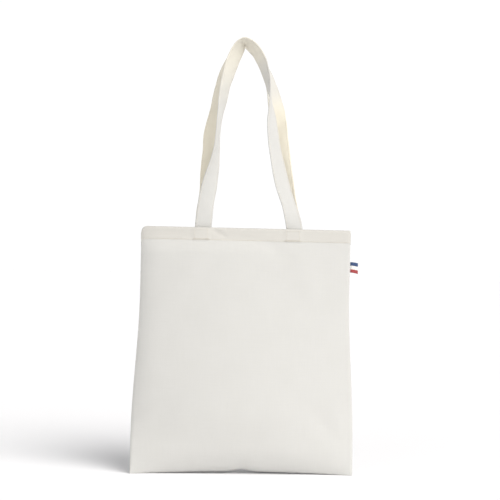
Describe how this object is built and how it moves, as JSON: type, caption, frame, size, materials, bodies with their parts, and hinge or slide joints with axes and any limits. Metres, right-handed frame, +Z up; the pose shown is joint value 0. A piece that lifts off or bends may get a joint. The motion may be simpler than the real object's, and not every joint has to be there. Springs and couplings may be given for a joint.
{
  "type": "canvas tote bag",
  "caption": "Flat canvas shopping tote with a hemmed open mouth, long folding strap handles and a small striped ribbon tag on the side seam.",
  "frame": {"origin": "on the floor under the middle of the bag, midway between its front and back panels", "axes": "+Z up through the mouth, -Y out of the front panel, +X towards the side seam that carries the ribbon tag"},
  "size_m": [0.38, 0.0774, 0.7444],
  "materials": {
    "canvas": "matte",
    "thread": "matte",
    "ribbon": "satin"
  },
  "bodies": {
    "bag": {"front_panel": "canvas", "back_panel": "canvas", "front_hem": "canvas", "back_hem": "canvas", "front_handle_feet": "canvas", "back_handle_feet": "canvas", "left_seam_allowance": "canvas", "right_seam_allowance": "canvas", "bottom_seam_allowance": "canvas", "front_handle_tacks": "thread", "back_handle_tacks": "thread", "hem_stitching": "thread", "left_overlock_thread": "thread", "right_overlock_thread": "thread", "bottom_overlock_thread": "thread", "side_ribbon_tail": "ribbon"},
    "front_handle": {"front_handle": "canvas", "front_handle_stitching": "thread"},
    "back_handle": {"back_handle": "canvas", "back_handle_stitching": "thread"},
    "side_ribbon": {"side_ribbon": "ribbon"}
  },
  "joints": [
    {"name": "front_handle_fold", "type": "hinge", "parent": "bag", "child": "front_handle", "pos_m": [0, -0.01397, 0.42], "axis": [1, 0, 0], "range_deg": [0, 170]},
    {"name": "back_handle_fold", "type": "hinge", "parent": "bag", "child": "back_handle", "pos_m": [0, 0.01397, 0.42], "axis": [-1, 0, 0], "range_deg": [0, 170]},
    {"name": "side_ribbon_flap", "type": "hinge", "parent": "bag", "child": "side_ribbon", "pos_m": [0.1802, 0, 0.357], "axis": [0, 0, 1], "range_deg": [-80, 80]}
  ]
}
